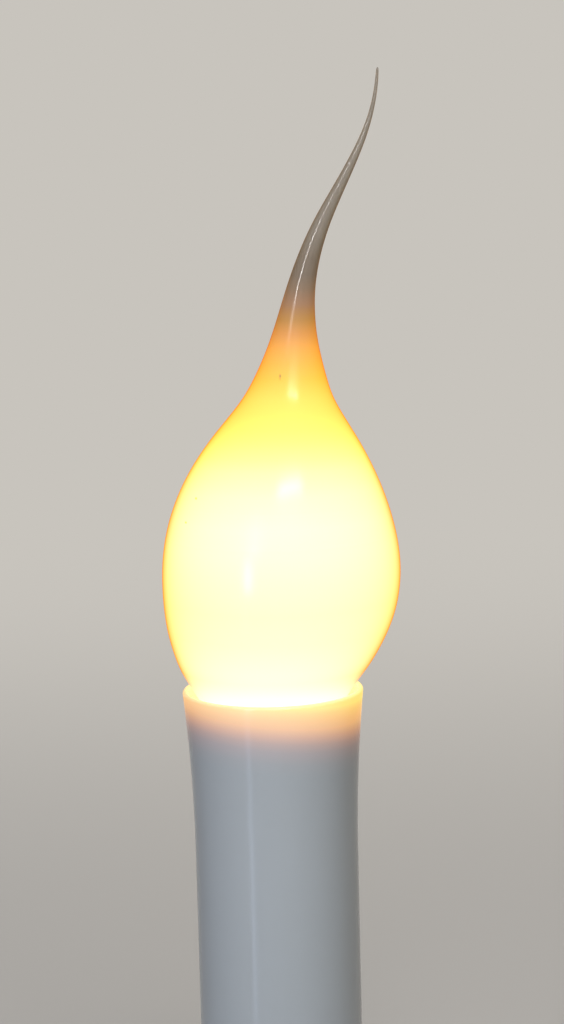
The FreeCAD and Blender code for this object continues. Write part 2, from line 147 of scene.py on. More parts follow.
def finish(piece, material, body, slot, *nodes):
    piece.data.materials.clear()
    piece.data.materials.append(material)
    dress(piece, body, slot, *nodes)


def toLinear(hexText):
    parts = [int(hexText[i:i + 2], 16) / 255 for i in (1, 3, 5)]
    return [p / 12.92 if p <= 0.04045 else ((p + 0.055) / 1.055) ** 2.4 for p in parts] + [1.0]


# inputs holds socket: value, a link where the value is another node's socket
def addNode(tree, kind, inputs=None, **settings):
    node = tree.nodes.new(kind)
    for key, value in settings.items():
        setattr(node, key, value)
    for socket, value in (inputs or {}).items():
        if isinstance(value, bpy.types.NodeSocket):
            tree.links.new(value, node.inputs[socket])
        else:
            node.inputs[socket].default_value = value
    return node


def link(tree, output, shader, socket):
    tree.links.new(output, shader.inputs[socket])


def newMaterial(name, colour, roughness, metallic=0.0, ior=1.5, **sockets):
    material = bpy.data.materials.new(name)
    material.use_nodes = True
    tree = material.node_tree
    shader = tree.nodes["Principled BSDF"]
    shader.inputs["Base Color"].default_value = toLinear(colour)
    shader.inputs["Roughness"].default_value = roughness
    shader.inputs["Metallic"].default_value = metallic
    shader.inputs["IOR"].default_value = ior
    for socket, value in sockets.items():
        shader.inputs[socket.replace("_", " ")].default_value = value
    return material, tree, shader


# Stops are (place, colour or number), from low to high
def setRamp(node, stops, low, high):
    ramp = node.color_ramp
    while len(ramp.elements) > 1:
        ramp.elements.remove(ramp.elements[0])
    for i, (place, colour) in enumerate(stops):
        share = (place - low) / (high - low)
        element = ramp.elements[0] if i == 0 else ramp.elements.new(share)
        element.position = share
        element.color = toLinear(colour) if isinstance(colour, str) else (colour, colour, colour, 1)


# A colour or a number that changes with the height on the object, and with slant reaches lower towards +X
def heightRamp(tree, stops, slant=0.0):
    low, high = stops[0][0], stops[-1][0]
    place = addNode(tree, "ShaderNodeTexCoord")
    split = addNode(tree, "ShaderNodeSeparateXYZ", {0: place.outputs["Object"]})
    height = addNode(tree, "ShaderNodeMath", {0: split.outputs["X"], 1: slant, 2: split.outputs["Z"]},
                     operation="MULTIPLY_ADD")
    share = addNode(tree, "ShaderNodeMapRange", {"Value": height.outputs[0], "From Min": low * mm,
                                                 "From Max": high * mm})
    ramp = addNode(tree, "ShaderNodeValToRGB", {"Fac": share.outputs[0]})
    setRamp(ramp, stops, low, high)
    return ramp.outputs["Color"]


# Unevenness of a surface, with grains of the given size and depth in mm
def addRelief(tree, shader, size, depth, detail):
    place = addNode(tree, "ShaderNodeTexCoord")
    grain = addNode(tree, "ShaderNodeTexNoise", {"Vector": place.outputs["Object"], "Scale": 1 / (size * mm),
                                                 "Detail": detail, "Roughness": 0.5})
    relief = addNode(tree, "ShaderNodeBump", {"Height": grain.outputs["Fac"], "Distance": depth * mm,
                                              "Strength": 1.0})
    link(tree, relief.outputs["Normal"], shader, "Normal")


# The rings of the flame are aside, height over the mouth, radius, lean in degrees
flame = {
    "sides": 32,
    "subdivisions": 2,
    "neckInCap": [(0, -23.1, 4.0, 0), (0, -23.1, 4.85, 0), (0, -22.8, 4.95, 0), (0, -9.3, 4.95, 0),
                  (0, -9.0, 5.1, 0), (0, -9.0, 6.0, 0), (0, -8.95, 6.38, 0)],
    "skirt": [(0, -8.6, 6.58, 0), (0, -7.9, 6.78, 0), (0, -6.8, 7.24, 0), (0, -4.54, 8.08, 0),
              (0, -2.01, 9.37, 0)],
    "belly": [(0, 0.6, 10.9, 0), (0.29, 3.21, 12.78, 0), (0.65, 5.75, 14.01, 0), (1.01, 8.57, 15.1, 0),
              (1.34, 11.55, 15.8, 0), (1.53, 14.81, 16.14, 0), (1.59, 18.0, 16.1, 0), (1.6, 21.2, 15.65, 0),
              (1.64, 24.41, 14.82, 0), (1.75, 27.57, 13.64, 0), (1.92, 30.32, 12.3, 0)],
    "neck": [(2.14, 32.94, 10.77, 0), (2.4, 35.31, 9.13, 0), (2.71, 37.63, 7.42, 0), (3.01, 39.76, 5.97, 0),
             (3.36, 42.12, 4.93, 0), (3.76, 44.97, 3.87, 2), (4.12, 48.01, 2.97, 6)],
    "tip": [(4.51, 51.0, 2.37, 8.7), (5.04, 54.0, 1.91, 12.2), (5.81, 57.0, 1.57, 16.7),
            (6.84, 60.0, 1.31, 21.3), (8.14, 63.0, 1.07, 25.7), (9.73, 66.0, 0.85, 28.3),
            (11.37, 69.0, 0.66, 28.2), (12.97, 72.1, 0.5, 25.4), (14.08, 74.64, 0.38, 21),
            (14.85, 76.94, 0.29, 15.8), (15.46, 79.6, 0.22, 9.3), (15.7, 81.9, 0.19, 3),
            (15.74, 82.5, 0.13, 0), (15.75, 82.6, 0.06, 0)],
}


def makeFlame():
    rings = flame["neckInCap"] + flame["skirt"] + flame["belly"] + flame["neck"] + flame["tip"]
    rings = [(aside, height + mouthLevel, radius, lean) for aside, height, radius, lean in rings]
    piece = pullRings("flameDip", flame["sides"], rings)
    applyModifier(piece, "SUBSURF", levels=flame["subdivisions"], render_levels=flame["subdivisions"])
    activate(piece)
    bpy.ops.object.shade_smooth()
    return piece


# Silicone rubber, dipped and drawn to a thread: lit from inside it is near white over the lamp, yellow and
# then orange where it thickens to the neck, and a milky brown where the light no longer reaches. The coat
# only tints: light that leaves at a slant passes more rubber, which gives the flame its orange edge.
# The ramps are (height over the mouth, colour or number).
silicone = {
    "ior": 1.41,
    "glowStrength": 2.0,
    "edgeTint": "#F9ECD7",
    "edgeRoughness": 0.1,
    "edgeIor": 1.003,       # so near 1 that the tinting layer has no gloss of its own
    "glow": [(-9, "#E6EBE1"), (1, "#E6EBDF"), (3, "#E6EBD7"), (5, "#E6EBD2"), (9, "#E6EBC0"),
             (13, "#E6EBB9"), (17, "#E6EBBF"), (20.5, "#E6EBC6"), (24, "#E6EBC9"), (28, "#E6EBBF"),
             (31, "#E6EBAA"), (32.6, "#E6E995"), (34.4, "#E6E081"), (36.2, "#E6D46C"), (38, "#E7C65B"),
             (40, "#E7BA48"), (42.5, "#DCA413"), (44.4, "#CD9500"), (46.3, "#BB8600"), (48.2, "#A26F00"),
             (50.1, "#7A5A0A"), (52.1, "#5A4533"), (54.1, "#372E25"), (56, "#101215"), (58, "#000000")],
    "Base Color": [(35, "#6E4C2A"), (40, "#665862"), (43, "#616172"), (48, "#6A6577"), (51.5, "#85736C"),
                   (56, "#A19A93"), (62, "#B5B4B2"), (82.6, "#BDBDBD")],
    "Transmission Weight": [(45, 0.0), (48, 0.08), (51, 0.25), (54, 0.4), (58, 0.5), (82.6, 0.55)],
    "Coat Weight": [(0, 0.6), (3.5, 1.0), (44, 1.0), (60, 0.8)],
    "Roughness": [(12, 0.2), (18, 0.2), (20.5, 0.21), (22.5, 0.335), (25, 0.33), (27.5, 0.195), (38, 0.2),
                  (40.2, 0.2), (41.4, 0.265), (51.5, 0.265), (53.2, 0.17), (54.4, 0.09)],
    # centre and half size in mm, colour: a dark speck on the neck and two faint ones on the belly
    "specks": [((2.03, -4.4, 144.46), (0.12, 0.8, 0.42), "#C4DA80"),
               ((2.06, -4.4, 144.6), (0.14, 0.8, 0.22), "#C8DAA0"),
               ((-9.33, -7.7, 129.15), (0.14, 0.8, 0.16), "#FFDC8C"),
               ((-10.75, -7.8, 126.03), (0.14, 0.8, 0.14), "#FFDC8C")],
    "speckFade": (0.5, 1.3),    # shares of the half size between which a speck fades out
}


# A speck in the rubber: the colour below is multiplied inside a small ellipsoid
def addSpeck(tree, below, centre, halfSize, colour):
    place = addNode(tree, "ShaderNodeTexCoord")
    aside = addNode(tree, "ShaderNodeVectorMath", {0: place.outputs["Object"], 1: [v * mm for v in centre]},
                    operation="SUBTRACT")
    share = addNode(tree, "ShaderNodeVectorMath", {0: aside.outputs[0], 1: [v * mm for v in halfSize]},
                    operation="DIVIDE")
    far = addNode(tree, "ShaderNodeVectorMath", {0: share.outputs[0]}, operation="LENGTH")
    full, gone = silicone["speckFade"]
    inside = addNode(tree, "ShaderNodeMapRange", {"Value": far.outputs["Value"], "From Min": full,
                                                  "From Max": gone, "To Min": 1.0, "To Max": 0.0})
    darker = addNode(tree, "ShaderNodeMix", {0: inside.outputs[0], 6: below, 7: toLinear(colour)},
                     data_type="RGBA", blend_type="MULTIPLY")
    return darker.outputs[2]


def siliconeMaterial():
    material, tree, shader = newMaterial(
        "siliconeRubberDipped", silicone["Base Color"][0][1], silicone["Roughness"][0][1],
        ior=silicone["ior"], Coat_Roughness=silicone["edgeRoughness"], Coat_IOR=silicone["edgeIor"],
        Coat_Tint=toLinear(silicone["edgeTint"]), Emission_Strength=silicone["glowStrength"])

    def byHeight(stops):
        return heightRamp(tree, [(height + mouthLevel, value) for height, value in stops])

    glow = byHeight(silicone["glow"])
    for speck in silicone["specks"]:
        glow = addSpeck(tree, glow, *speck)
    link(tree, glow, shader, "Emission Color")
    for socket in ("Base Color", "Transmission Weight", "Coat Weight", "Roughness"):
        link(tree, byHeight(silicone[socket]), shader, socket)
    return material


finish(makeFlame(), siliconeMaterial(), "bulb", "silicone", "flame_envelope")
print("silicone flame made")


tube = {
    "radius": 11.1,
    "wall": 0.8,
    "mouthGrowth": 1.1,
    "flareLength": 22.0,
    "foot": 0.3,            # rounding of the lower edge outside
    "footInside": 0.1,
    "levels": [30, 55, 79.6, 83, 86, 89, 92, 95, 98, 100, mouthLevel],
    "lipSteps": 8,
    "sides": 128,
    "smooth": 50,
    # white styrene given a light grey: painted shade, darker than the plastic's own white
    "colour": "#B0B5B6",
    "roughness": [(99, 0.15), (101.2, 0.265)],  # height, roughness: the lip is left duller
    "waves": (9, 0.05, 1),  # length, depth and detail of the slow waves that moulding leaves in the gloss
    "slant": 0.1,           # the painted glow reaches lower on the side that the flame leans to
    # painted glow, the flame's light put into the emission: depth under the mouth, colour
    "outsidePaintedGlow": [(-0.45, "#C8A600"), (0, "#C29A00"), (0.3, "#C09200"), (1.4, "#BA8004"),
                    (2.4, "#AA7204"), (3.5, "#8E5406"), (4.6, "#653408"), (5.7, "#401C08"),
                    (7.4, "#1C0A04"), (9, "#000000")],
    # inside: painted light where the flame would light the inner wall, fading with depth
    "insidePaintedGlow": [(-0.45, "#C8A000"), (0, "#FFC000"), (4, "#FFB820"), (10, "#D88010"), (16, "#8A3C08"),
                   (26, "#000000")],
    "outsidePaintedGlowStrength": 1.5,
    "insidePaintedGlowStrength": 1.2,
}


def flareAt(height):
    share = max(0.0, height - mouthLevel + tube["flareLength"]) / tube["flareLength"]
    return tube["radius"] + tube["mouthGrowth"] * share ** 2


def makeTube():
    radius, wall, foot, bevel = tube["radius"], tube["wall"], tube["foot"], tube["footInside"]
    inner = radius - wall
    profile = [(inner + bevel, 0), (radius - foot, 0), (radius - foot / 4, foot / 4), (radius, foot)]
    profile += [(flareAt(height), height) for height in tube["levels"]]
    lip = flareAt(mouthLevel) - wall / 2
    for i in range(1, tube["lipSteps"]):
        turn = math.pi * i / tube["lipSteps"]
        profile.append((lip + wall / 2 * math.cos(turn), mouthLevel + wall / 2 * math.sin(turn)))
    profile += [(flareAt(height) - wall, height) for height in reversed(tube["levels"])]
    profile += [(inner, bevel), (inner + bevel, 0)]
    piece = pullProfile("candleCover", tube["sides"], profile, filled=False)
    smoothByAngle(piece, tube["smooth"])
    return piece


# Polystyrene, injection moulded in a polished mould: a hard gloss. Near the mouth it carries a painted glow,
# the flame's light put into its emission: outside where it would shine through the thin wall, inside where it
# would fall on the wall. Its light grey is painted shade on white styrene.
def styreneWithPaintedGlow(name, glow, strength):
    material, tree, shader = newMaterial(name, tube["colour"], tube["roughness"][0][1],
                                         Emission_Strength=strength)
    stops = [(mouthLevel - depth, colour) for depth, colour in reversed(glow)]
    link(tree, heightRamp(tree, stops, slant=tube["slant"]), shader, "Emission Color")
    link(tree, heightRamp(tree, tube["roughness"]), shader, "Roughness")
    addRelief(tree, shader, *tube["waves"])
    return material


candleCover = makeTube()
for name, glow, strength in (("polystyrenePaintedGlowOutside", tube["outsidePaintedGlow"], tube["outsidePaintedGlowStrength"]),
                             ("polystyrenePaintedGlowInside", tube["insidePaintedGlow"], tube["insidePaintedGlowStrength"])):
    candleCover.data.materials.append(styreneWithPaintedGlow(name, glow, strength))
for face in candleCover.data.polygons:      # the wall that faces inwards, above its rounded lower edge
    outward = Vector((face.center.x, face.center.y, 0)).dot(face.normal)
    if outward < 0 and face.center.z > 2 * tube["footInside"] * mm:
        face.material_index = 1
dress(candleCover, "holder", "white_plastic", "candle_tube")
print("candle tube made")


# The finishes of the holder and the cap. Sizes are mm on the surface:
# relief: grain size, depth, detail
# dull: patch size, detail, lowest and highest roughness
# flecks: fleck size, detail, roughness of the noise, colours
def finishMaterial(name, colour, roughness, relief, dull=None, flecks=None, **settings):
    material, tree, shader = newMaterial(name, colour, roughness, **settings)
    place = addNode(tree, "ShaderNodeTexCoord").outputs["Object"]
    if flecks:
        size, detail, wild, stops = flecks
        spread = addNode(tree, "ShaderNodeTexNoise", {"Vector": place, "Scale": 1 / (size * mm),
                                                      "Detail": detail, "Roughness": wild})
        ramp = addNode(tree, "ShaderNodeValToRGB", {"Fac": spread.outputs["Fac"]})
        setRamp(ramp, stops, 0.0, 1.0)
        link(tree, ramp.outputs["Color"], shader, "Base Color")
    if dull:
        size, detail, low, high = dull
        spread = addNode(tree, "ShaderNodeTexNoise", {"Vector": place, "Scale": 1 / (size * mm),
                                                      "Detail": detail, "Roughness": 0.5})
        rough = addNode(tree, "ShaderNodeMapRange", {"Value": spread.outputs["Fac"], "To Min": low,
                                                     "To Max": high})
        link(tree, rough.outputs[0], shader, "Roughness")
    addRelief(tree, shader, *relief)
    return material


# Brass, nickel plated and rolled: a warm grey mirror with fine marks. The real marks are a few hundredths
# of a millimetre apart, too fine to show, so they are drawn at 0.35 mm.
nickel = finishMaterial("nickelPlatedBrass", "#B9B2A6", 0.28, metallic=1.0, relief=(0.35, 0.01, 4),
                        dull=(1.2, 5, 0.2, 0.38))

# Black lamp glass, pressed hot into the shell: a deep gloss with slow waves from the stamp
blackGlass = finishMaterial("blackGlassPressed", "#0B0B0D", 0.08, ior=1.55, relief=(1.5, 0.03, 2))

# Tin solder, dropped on and left to freeze: dull silver with a grainy skin, grains of about 0.25 mm
solder = finishMaterial("tinSolderDropped", "#B5B6B4", 0.4, metallic=1.0, relief=(0.25, 0.03, 5))

# Phenolic resin, compression moulded with wood flour: near black with brown flecks and a satin gloss.
# The flour is finer than 0.2 mm, so its flecks are drawn at 0.6 mm, as coarse as they need to show.
phenolic = finishMaterial("phenolicMoulded", "#1B1512", 0.35, ior=1.6, relief=(0.5, 0.02, 5),
                          flecks=(0.6, 6, 0.7, [(0.3, "#120E0C"), (0.55, "#1E1713"), (0.75, "#34251B")]))

# Brass sheet, stamped: yellow metal with patches of 2 mm where it has dulled. Its rolling marks are drawn
# at 0.3 mm so that they show.
brass = finishMaterial("brassSheetStamped", "#C79A4B", 0.3, metallic=1.0, relief=(0.3, 0.008, 4),
                       flecks=(2.2, 5, 0.5, [(0.35, "#B98A3E"), (0.65, "#D3A95C")]))

# Vulcanised fibre, punched from sheet: a dull brick red with short fibres, 0.2 to 0.3 mm long
fibre = finishMaterial("vulcanisedFibrePunched", "#6E2F22", 0.7, relief=(0.2, 0.02, 6),
                       flecks=(0.3, 6, 0.75, [(0.3, "#5A241A"), (0.7, "#80392A")]))

# Steel, zinc plated and passivated: bluish silver with faint yellow clouds of 3 mm. The crystals are too
# fine to show and are drawn at 0.25 mm.
zinc = finishMaterial("zincPlatedSteel", "#A9ADB2", 0.34, metallic=1.0, relief=(0.25, 0.01, 4),
                      dull=(0.9, 5, 0.26, 0.46),
                      flecks=(3.0, 5, 0.6, [(0.3, "#A4A8AD"), (0.5, "#AEB0B1"), (0.7, "#B5B3AC")]))


# Edges sharper than angle are rounded, and triangles within flatWithin of each other are one flat, in degrees
rounding = {"segments": 2, "angle": 35, "flatWithin": 0.6}


# A copy of a CAD node with its triangles merged, its flats joined again and its edges rounded
def roundedCopy(node, name, edge):
    piece = bpy.data.objects.new(name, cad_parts[node].data.copy())
    bpy.context.scene.collection.objects.link(piece)
    editAll(piece)
    bpy.ops.mesh.remove_doubles(threshold=weld)
    bpy.ops.mesh.dissolve_limited(angle_limit=math.radians(rounding["flatWithin"]))
    backToObject(piece)
    applyModifier(piece, "BEVEL", width=edge * mm, segments=rounding["segments"], limit_method="ANGLE",
                  angle_limit=math.radians(rounding["angle"]))
    smoothByAngle(piece, rounding["angle"])
    return piece


# node: new piece, body, slot, material, edge
roundedNodes = {
    "cap_shell": ("capShell", "bulb", "nickel_plate", nickel, 0.05),
    "socket_body": ("mouldedBody", "holder", "phenolic", phenolic, 0.25),
    "screw_shell": ("threadedShell", "holder", "brass_sheet", brass, 0.04),
    "insulating_disc": ("fibreDisc", "holder", "fibre", fibre, 0.08),
    "center_contact": ("contactLeaf", "holder", "brass_sheet", brass, 0.06),
    "contact_terminal": ("contactAngle", "holder", "brass_sheet", brass, 0.1),
    "shell_terminal": ("shellAngle", "holder", "brass_sheet", brass, 0.1),
    "bracket": ("hubBracket", "holder", "zinc_plate", zinc, 0.15),
}
for node, (name, body, slot, material, edge) in roundedNodes.items():
    finish(roundedCopy(node, name, edge), material, body, slot, node)
print("body, shells, terminals and bracket made")


# One-eighth pipe thread in the bracket's hub
hubThread = {"root": 4.85, "crest": 4.3, "pitch": 0.94, "low": 0.2, "high": 6.2, "steps": 36}
ridgeHalfWidth = 0.42   # of any thread's ridge, as a share of its pitch
smoothFastener = 40     # degrees, for threads, rivets and screws


def cutFlat(piece, height, keepAbove):
    editAll(piece)
    bpy.ops.mesh.bisect(plane_co=(0, 0, height * mm), plane_no=(0, 0, 1), use_fill=True, threshold=cutSlack,
                        clear_inner=keepAbove, clear_outer=not keepAbove)
    backToObject(piece)


# One ridge round the Z axis, half of it sunk in its bar or in the wall of its hole
def threadRidge(name, root, crest, pitch, low, high, steps):
    turns = math.ceil((high - low) / pitch) + 2
    start = (root * mm, 0, (low - pitch) * mm)
    deselectAll()
    bpy.ops.mesh.primitive_circle_add(vertices=4, radius=mm, fill_type="NGON",
                                      rotation=(math.pi / 2, 0, 0), location=start)
    ridge = bpy.context.object
    ridge.name = name
    editAll(ridge)
    bpy.ops.transform.resize(value=(abs(crest - root), 1, ridgeHalfWidth * pitch), center_override=start)
    backToObject(ridge)
    applyModifier(ridge, "SCREW", axis="Z", angle=2 * math.pi, screw_offset=pitch * mm, iterations=turns,
                  steps=steps, render_steps=steps)
    cutFlat(ridge, low, keepAbove=True)
    cutFlat(ridge, high, keepAbove=False)
    editAll(ridge)
    bpy.ops.mesh.normals_make_consistent(inside=False)
    backToObject(ridge)
    return ridge


ridge = threadRidge("hubThread", **hubThread)
smoothByAngle(ridge, smoothFastener)
finish(ridge, zinc, "holder", "zinc_plate")


# Rings of a domed head, up to the small flat on its top: rise is what a full dome would stand up
dome = {"step": 13, "steps": 6}


def domeProfile(radius, edge, rise):
    turns = [math.radians(dome["step"] * i) for i in range(1, dome["steps"] + 1)]
    return [(radius * math.cos(turn), edge + rise * math.sin(turn)) for turn in turns]


rivet = {
    "sides": 40,
    "shank": 0.65,
    "headHeight": 0.4,
    "headEdge": 0.05,
    "headCorner": 0.04,
    "contactHead": 1.1,     # radius of the head on the leaf, and of the one on the shell's floor
    "shellHead": 0.85,
    # radius, height over its lower edge: from the punch's dimple outwards and up to the terminal
    "clinch": [(0.25, 0.25), (0.45, 0.15), (0.62, 0.05), (0.75, 0), (0.9, 0.07), (1.0, 0.25), (0.97, 0.5),
               (0.88, 0.6)],
}


# Rivet through the body's floor: a domed head on the seat, and a clinch rolled out over a terminal
def makeRivet(name, seat, head, x, low):
    shank, edge = rivet["shank"], rivet["headEdge"]
    profile = [(radius, low + height) for radius, height in rivet["clinch"]]
    profile += [(shank, low + rivet["clinch"][-1][1]), (shank, seat), (head - rivet["headCorner"], seat),
                (head, seat + edge)]
    profile += domeProfile(head, seat + edge, rivet["headHeight"] - edge)
    piece = pullProfile(name, rivet["sides"], profile)
    putAt(piece, (x, 0, 0))
    smoothByAngle(piece, smoothFastener)
    return piece


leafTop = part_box("contact_rivet")[1][2] / mm - rivet["headHeight"]
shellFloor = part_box("shell_rivet")[1][2] / mm - rivet["headHeight"]
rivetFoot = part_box("contact_rivet")[0][2] / mm
shellRivetPlace = (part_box("shell_rivet")[0][0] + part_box("shell_rivet")[1][0]) / 2 / mm
finish(makeRivet("contactRivet", leafTop, rivet["contactHead"], 0, rivetFoot), brass, "holder",
       "brass_sheet", "contact_rivet")
finish(makeRivet("shellRivet", shellFloor, rivet["shellHead"], shellRivetPlace, rivetFoot), brass, "holder",
       "brass_sheet", "shell_rivet")


# Screws stand on the Z axis with the seat of the head at height 0
screws = {
    "sides": 40,
    "point": 0.3,           # height of the tapered point
    "pointShare": 0.6,      # its radius as a share of the core's
    "corner": 0.06,         # under the head
    "edgeShare": 0.3,       # straight part of the head's edge
    "slotRounding": 0.05,
    "slotAngle": 50,
    "threadSteps": 24,
    "threadFrom": 0.25,     # above the point
    "threadTo": -0.1,
    "terminal": {"core": 1.0, "crest": 1.18, "pitch": 0.6, "length": 2.2, "head": 2.1, "headHeight": 1.2,
                 "slotWidth": 0.6, "slotDepth": 0.6},
    "bracket": {"core": 0.82, "crest": 1.0, "pitch": 0.7, "length": 6.0, "head": 1.6, "headHeight": 1.2,
                "slotWidth": 0.45, "slotDepth": 0.55},
}


def makeScrew(size):
    head, high, length, core = size["head"], size["headHeight"], size["length"], size["core"]
    wall = screws["edgeShare"] * high
    corner = screws["corner"]
    profile = [(screws["pointShare"] * core, -length), (core, screws["point"] - length), (core, 0),
               (head - corner, 0), (head, corner), (head, wall)]
    profile += domeProfile(head, wall, (high - wall) / math.sin(math.radians(dome["step"] * dome["steps"])))
    screw = pullProfile("screw", screws["sides"], profile)
    deselectAll()
    bpy.ops.mesh.primitive_cube_add(size=1, location=(0, 0, high * mm),
                                    scale=(size["slotWidth"] * mm, 3 * head * mm, 2 * size["slotDepth"] * mm))
    cutter = bpy.context.object     # longer than the head is wide, and half of it above the head
    applyModifier(screw, "BOOLEAN", operation="DIFFERENCE", object=cutter, solver="EXACT")
    bpy.data.objects.remove(cutter)
    applyModifier(screw, "BEVEL", width=screws["slotRounding"] * mm, segments=rounding["segments"],
                  limit_method="ANGLE", angle_limit=math.radians(screws["slotAngle"]))
    ridge = threadRidge("ridge", core, size["crest"], size["pitch"], screws["threadFrom"] - length,
                        screws["threadTo"], screws["threadSteps"])
    screw = joinPieces("screw", screw, ridge)
    smoothByAngle(screw, smoothFastener)
    return screw


# The terminal screws lie along X, their heads outwards
size = screws["terminal"]
first = makeScrew(size)
second = copyPiece(first)
for screw, name, node, side in ((first, "contactScrew", "contact_terminal_screw", 1),
                                (second, "shellScrew", "shell_terminal_screw", -1)):
    low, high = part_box(node)
    screw.name = name
    seat = (high[0] if side > 0 else -low[0]) / mm - size["headHeight"]
    putAt(screw, (side * seat, 0, (low[2] + high[2]) / 2 / mm), turn=90 * side)
    finish(screw, nickel, "holder", "nickel_plate", node)

# The bracket's screws stand upside down under its arm
size = screws["bracket"]
first = makeScrew(size)
second = copyPiece(first)
low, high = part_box("bracket_screws")
for screw, x in ((first, low[0] / mm + size["head"]), (second, high[0] / mm - size["head"])):
    putAt(screw, (x, (low[1] + high[1]) / 2 / mm, low[2] / mm + size["headHeight"]), turn=180)
finish(joinPieces("bracketScrews", first, second), zinc, "holder", "zinc_plate", "bracket_screws")
print("rivets, screws and hub thread made")


capGlass = {
    "low": 75.0,
    "length": 2.6,
    "tip": 2.95,            # radius below, and of the seat above
    "top": 4.6,
    "hollow": 0.15,         # how far the cone's side is drawn in at its middle
    "steps": 10,
    "sides": 64,
    "smooth": 40,
    # out from the tip's or the seat's radius, up from the cone's lower or upper end
    "roundedTip": [(-0.25, 0), (-0.1, 0.04), (0, 0.14)],
    "roundedSeat": [(-0.03, -0.05), (0, 0.02), (0, 0.45)],
}
tipSolder = {
    "low": 74.1,
    "stem": 1.15,
    "stemTop": 76.3,
    "sides": 48,
    "smooth": 50,
    "ripple": (0.07, 1.3),  # depth, size
    # radius, height over its foot
    "drop": [(0.5, 0), (1.0, 0.02), (1.35, 0.06), (1.7, 0.14), (2.0, 0.26), (2.2, 0.4), (2.33, 0.56),
             (2.36, 0.72), (2.3, 0.88), (2.2, 0.92)],
}
sideSolder = {
    "radius": 0.9,
    "height": 91.1,
    "collar": 6.1,          # out to the blob's middle from the axis
    "squash": (0.96, 0.92, 0.94),
    "cutBehind": 0.3,
    "fineness": 5,
    "smooth": 50,
    "ripple": (0.07, 1.1),
}


# The black glass cone is a little hollow between its tip and its seat in the shell
def makeGlass():
    low, tip, top, length = capGlass["low"], capGlass["tip"], capGlass["top"], capGlass["length"]
    profile = [(tip + out, low + up) for out, up in capGlass["roundedTip"]]
    for i in range(1, capGlass["steps"]):
        share = i / capGlass["steps"]
        bow = capGlass["hollow"] * math.sin(math.pi * share)
        profile.append((tip + share * (top - tip) - bow, low + share * length))
    profile += [(top + out, low + length + up) for out, up in capGlass["roundedSeat"]]
    piece = pullProfile("capGlass", capGlass["sides"], profile)
    smoothByAngle(piece, capGlass["smooth"])
    return piece


# Solder freezes a little uneven
def ripple(piece, depth, size):
    texture = bpy.data.textures.new(piece.name + "Ripple", "CLOUDS")
    texture.noise_scale = size * mm
    applyModifier(piece, "DISPLACE", texture=texture, texture_coords="LOCAL", strength=depth * mm,
                  mid_level=0.5)


# The drop of solder at the lamp's foot, melted over the glass, with its stem inside
def makeTipSolder():
    low, drop, stem = tipSolder["low"], tipSolder["drop"], tipSolder["stem"]
    profile = [(radius, low + height) for radius, height in drop]
    profile += [(stem, low + drop[-1][1]), (stem, tipSolder["stemTop"])]
    piece = pullProfile("tipSolder", tipSolder["sides"], profile)
    ripple(piece, *tipSolder["ripple"])
    smoothByAngle(piece, tipSolder["smooth"])
    return piece


# The blob on the cap's collar, cut flat where it lies inside the sheet
def makeSideSolder():
    place = (0, -sideSolder["collar"] * mm, sideSolder["height"] * mm)
    deselectAll()
    bpy.ops.mesh.primitive_ico_sphere_add(subdivisions=sideSolder["fineness"],
                                          radius=sideSolder["radius"] * mm, location=place)
    piece = bpy.context.object
    piece.name = "sideSolder"
    editAll(piece)
    bpy.ops.transform.resize(value=sideSolder["squash"], center_override=place)
    bpy.ops.mesh.bisect(plane_co=(0, place[1] + sideSolder["cutBehind"] * mm, 0), plane_no=(0, 1, 0),
                        use_fill=True, threshold=cutSlack, clear_outer=True)
    backToObject(piece)
    ripple(piece, *sideSolder["ripple"])
    smoothByAngle(piece, sideSolder["smooth"])
    return piece


finish(makeGlass(), blackGlass, "bulb", "black_glass", "cap_insulator")
finish(makeTipSolder(), solder, "contact_rise", "solder", "cap_contact")
finish(makeSideSolder(), solder, "bulb", "solder", "side_solder")
print("cap's glass and solder made")


# Stage in metres. The floor lies a hair under the object, whose hub and tube both end at height 0, and
# bounce is its colour for the light that it throws back on the object.
stage = {"floorSize": 12.0, "floorSides": 96, "floorDrop": 0.00003, "backdrop": "#C8C4BD",
         "floor": "#C4C0B9", "bounce": "#6A6762", "fadeFrom": 0.2, "fadeTo": 0.8, "light": 0.1}

# Azimuth and elevation seen from the aim, the aim's height, distance, width, height, watts, colour, seen in
# the gloss, spread in degrees. The strips give the flame and the tube their narrow reflections, and
# underTube lies between floor and tube and lights the holder from below.
lamps = {
    "overhead": (12, 44, 0.125, 0.8, 0.34, 0.065, 2.4, "#FFFFFF", True, 180),
    "frontFill": (7, 27, 0.135, 1.0, 0.5, 0.4, 2.6, "#F6F8FF", False, 180),
    "tipStrip": (-27, 18.5, 0.155, 1.0, 0.1, 0.15, 1.9, "#E4ECFF", True, 180),
    "bellyStrip": (-31, -4.5, 0.15, 0.35, 0.038, 0.105, 0.037, "#E4ECFF", True, 69),
    "tubeStrip": (-34, 0, 0.035, 0.16, 0.011, 0.066, 0.0013, "#C8DCFF", True, 70),
    "underTube": (0, -90, -0.000015, 0.0, 0.02, 0.02, 0.0007, "#FFFFFF", True, 180),
    "leftFill": (-115, 25, 0.125, 1.0, 0.6, 0.6, 0.5, "#C8D8FF", False, 180),
    "rightFill": (115, 25, 0.125, 1.0, 0.6, 0.6, 0.5, "#FFE2C4", False, 180),
    "backFill": (180, 30, 0.125, 1.0, 0.7, 0.5, 5.0, "#FFFFFF", False, 180),
}
camera = {"place": (0.001841, -0.322175, 0.173013), "down": 8.31, "roll": 1.45, "lens": 85.56,
          "sensor": 36.0, "near": 0.01, "far": 50}


